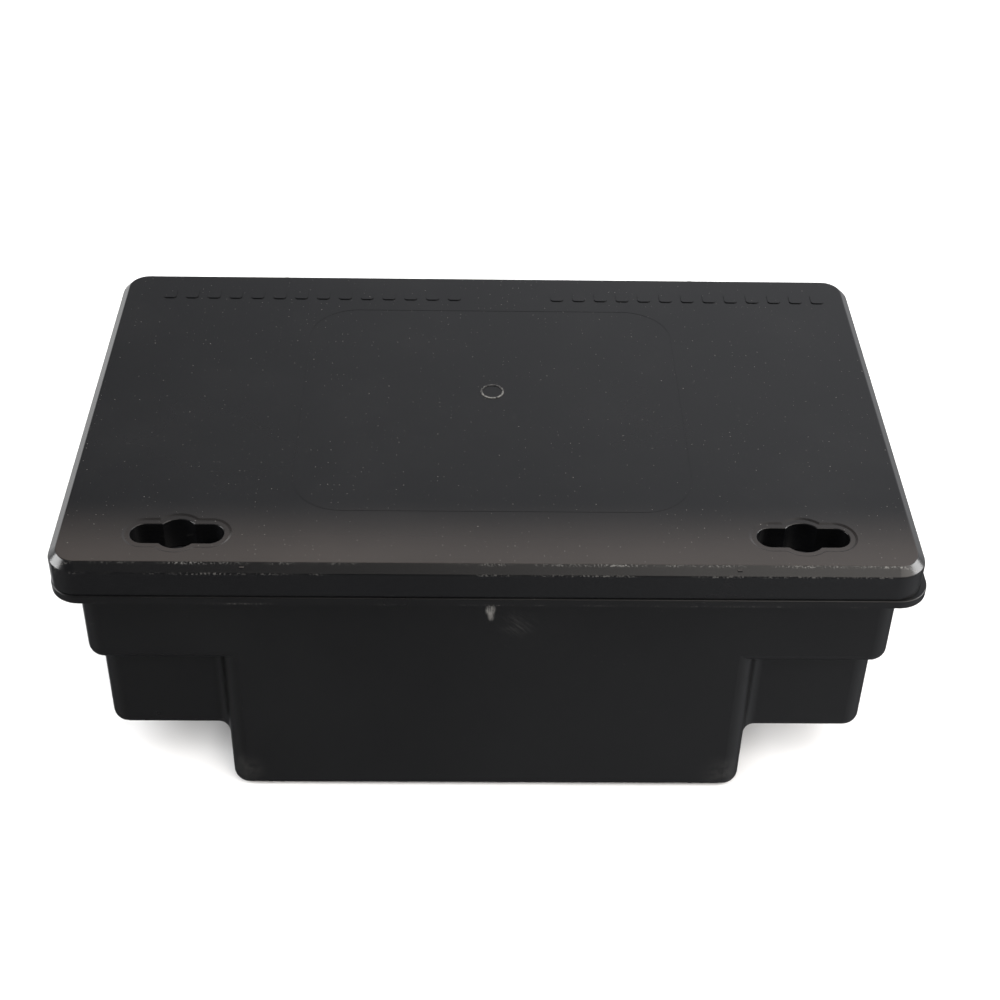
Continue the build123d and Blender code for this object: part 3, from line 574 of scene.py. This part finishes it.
def buildBlocks(node, s, seed):
    low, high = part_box(node)
    middle = (np.array(low) + np.array(high)) / 2
    rng = np.random.default_rng(seed)
    points, faces, start = [], [], 0
    for index in range(s["count"]):
        shift = (index - (s["count"] - 1) / 2) * (s["length"] + s["gap"])
        grid = blockGrid(rng, s, middle + np.array([shift, 0, 0]))
        points.append(grid.reshape(-1, 3))
        faces.append(ringFaces(grid.shape[0], grid.shape[1], start))
        start += grid.shape[0] * grid.shape[1]
    points, faces = np.concatenate(points), np.concatenate(faces)
    mesh = bpy.data.meshes.new(node + "_wax")
    mesh.vertices.add(len(points))
    mesh.vertices.foreach_set("co", points.astype(np.float32).ravel())
    mesh.loops.add(faces.size)
    mesh.loops.foreach_set("vertex_index", faces.astype(np.int32).ravel())
    mesh.polygons.add(len(faces))
    mesh.polygons.foreach_set("loop_start", np.arange(0, faces.size, 4, dtype=np.int32))
    mesh.polygons.foreach_set("use_smooth", np.ones(len(faces), dtype=bool))
    mesh.update(calc_edges=True)
    mesh.validate()
    mesh.materials.append(baitWax)
    piece = bpy.data.objects.new(node + "_wax", mesh)
    scene.collection.objects.link(piece)
    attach(piece, "tub")
    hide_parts(node)


for offset, row in enumerate(("front_bait_blocks", "rear_bait_blocks")):
    buildBlocks(row, blockSettings, blockSettings["seed"] + offset)
print("bait blocks built")

stageSettings = {
    "floorSize": 12.0, "floorColour": (0.86, 0.86, 0.86),
    "backdropRadius": 6.5, "backdropGlow": 0.97, "turns": 48, "rises": 24,
    "poleGap": 0.001, "lowest": 1.62,      # radians from straight up
}


def addFloor(s):
    half = s["floorSize"] / 2
    corners = [(-half, -half, 0), (half, -half, 0), (half, half, 0), (-half, half, 0)]
    mesh = bpy.data.meshes.new("floor")
    mesh.from_pydata(corners, [], [(0, 1, 2, 3)])
    floor = bpy.data.objects.new("floor", mesh)
    scene.collection.objects.link(floor)
    material, _, shader = newMaterial("floorPaper")
    shader.inputs["Base Color"].default_value = (*s["floorColour"], 1)
    shader.inputs["Roughness"].default_value = 0.9
    shader.inputs["Specular IOR Level"].default_value = 0.1
    mesh.materials.append(material)
    floor.visible_glossy = False


def addBackdrop(s):
    # point = radius * (sin b cos a, sin b sin a, cos b), from the top to just below level;
    # only the camera sees it
    turns = np.linspace(0, 2 * np.pi, s["turns"], endpoint=False)
    a, b = np.meshgrid(turns, np.linspace(s["poleGap"], s["lowest"], s["rises"]))
    points = np.stack([np.sin(b) * np.cos(a), np.sin(b) * np.sin(a), np.cos(b)], axis=-1)
    points = s["backdropRadius"] * points.reshape(-1, 3)
    faces = ringFaces(s["rises"], s["turns"], 0)[:-s["turns"]]
    mesh = bpy.data.meshes.new("backdrop")
    mesh.from_pydata(points.tolist(), [], faces.tolist())
    backdrop = bpy.data.objects.new("backdrop", mesh)
    scene.collection.objects.link(backdrop)
    material, _, shader = newMaterial("backdropPaper")
    shader.inputs["Base Color"].default_value = (0, 0, 0, 1)
    shader.inputs["Emission Color"].default_value = (1, 1, 1, 1)
    shader.inputs["Emission Strength"].default_value = s["backdropGlow"]
    shader.inputs["Specular IOR Level"].default_value = 0.0
    mesh.materials.append(material)
    for kind in ("diffuse", "glossy", "transmission", "volume_scatter", "shadow"):
        setattr(backdrop, "visible_" + kind, False)


addFloor(stageSettings)
addBackdrop(stageSettings)

skySettings = {
    "ambient": (0.066, 0.067, 0.072),
    # each softbox fades in between two cosines round its aim: strength * ease^power
    "softboxes": [
        {"name": "backSheet", "aim": (0.58, 0.72, 0.57), "edge": 0.45, "core": 1.02,
         "power": 1.0, "strength": 0.63, "colour": (0.98, 0.99, 1.03)},
        {"name": "frontRight", "aim": (0.551, -0.451, 0.702), "edge": 0.60, "core": 1.0,
         "power": 3.2, "strength": 3.6, "colour": (1.06, 1.0, 0.94)},
        {"name": "lowBackLeft", "aim": (-0.60, 0.77, -0.22), "edge": 0.80, "core": 0.95,
         "power": 1.0, "strength": 1.2, "colour": (1.0, 1.0, 1.0)},
        {"name": "lowBackRight", "aim": (0.60, 0.77, -0.22), "edge": 0.85, "core": 0.95,
         "power": 1.0, "strength": 0.3, "colour": (1.0, 1.0, 1.0)},
        {"name": "lowFrontLeft", "aim": (-0.75, -0.50, -0.43), "edge": 0.60, "core": 1.0,
         "power": 1.0, "strength": 0.12, "colour": (1.0, 1.0, 1.0)},
        {"name": "lowFrontRight", "aim": (0.70, -0.55, -0.46), "edge": 0.45, "core": 1.0,
         "power": 1.0, "strength": 0.34, "colour": (0.98, 0.99, 1.03)},
    ],
    "overhead": {"strength": 3.4, "angle": 70.0, "lean": (0.22, -0.12)},
    # two windows out to the sides, above the lid and turned to its ends;
    # power = radiance * pi * width * height
    "windows": [
        {"name": "leftWindow", "place": (-0.63, -0.09, 0.30), "aim": (-0.155, -0.09, 0.125)},
        {"name": "rightWindow", "place": (0.61, -0.09, 0.30), "aim": (0.155, -0.09, 0.125)},
    ],
    "windowSize": (0.36, 0.20), "windowRadiance": 11.0,
}


def addSky(s):
    world = bpy.data.worlds.new("studio")
    world.use_nodes = True
    tree = world.node_tree
    direction = addNode(tree, "ShaderNodeTexCoord").outputs["Generated"]
    ambient = dict(zip(("Red", "Green", "Blue"), s["ambient"]))
    total = addNode(tree, "ShaderNodeCombineColor", ambient).outputs[0]
    for box in s["softboxes"]:
        aim = tuple(Vector(box["aim"]).normalized())
        along = addNode(tree, "ShaderNodeVectorMath", {1: aim}, operation="DOT_PRODUCT")
        tree.links.new(direction, along.inputs[0])
        ease = ramp(tree, along.outputs["Value"], box["edge"], box["core"], 0.0, 1.0, box["power"] == 1.0)
        level = maths(tree, "MULTIPLY", maths(tree, "POWER", ease, box["power"]), box["strength"])
        tint = addNode(tree, "ShaderNodeVectorMath", {0: box["colour"]}, operation="SCALE")
        tree.links.new(level, tint.inputs["Scale"])
        joined = addNode(tree, "ShaderNodeVectorMath", operation="ADD")
        tree.links.new(total, joined.inputs[0])
        tree.links.new(tint.outputs[0], joined.inputs[1])
        total = joined.outputs[0]
    tree.links.new(total, tree.nodes["Background"].inputs["Color"])
    tree.nodes["Background"].inputs["Strength"].default_value = 1.0
    scene.world = world
    light = bpy.data.lights.new("overhead", "SUN")
    light.energy = s["overhead"]["strength"]
    light.angle = math.radians(s["overhead"]["angle"])
    lamp = bpy.data.objects.new("overhead", light)
    lamp.rotation_euler = (s["overhead"]["lean"][0], s["overhead"]["lean"][1], 0.0)
    lamp.location = (0.0, 0.0, 1.5)
    lamp.visible_glossy = False
    scene.collection.objects.link(lamp)
    width, height = s["windowSize"]
    for window in s["windows"]:
        light = bpy.data.lights.new(window["name"], "AREA")
        light.shape = "RECTANGLE"
        light.size, light.size_y = width, height
        light.energy = s["windowRadiance"] * math.pi * width * height
        lamp = bpy.data.objects.new(window["name"], light)
        lamp.location = window["place"]
        sight = Vector(window["aim"]) - Vector(window["place"])
        lamp.rotation_euler = sight.to_track_quat("-Z", "Y").to_euler()
        lamp.visible_camera = False
        scene.collection.objects.link(lamp)


addSky(skySettings)
scene.view_settings.view_transform = "Standard"
print("stage lit")
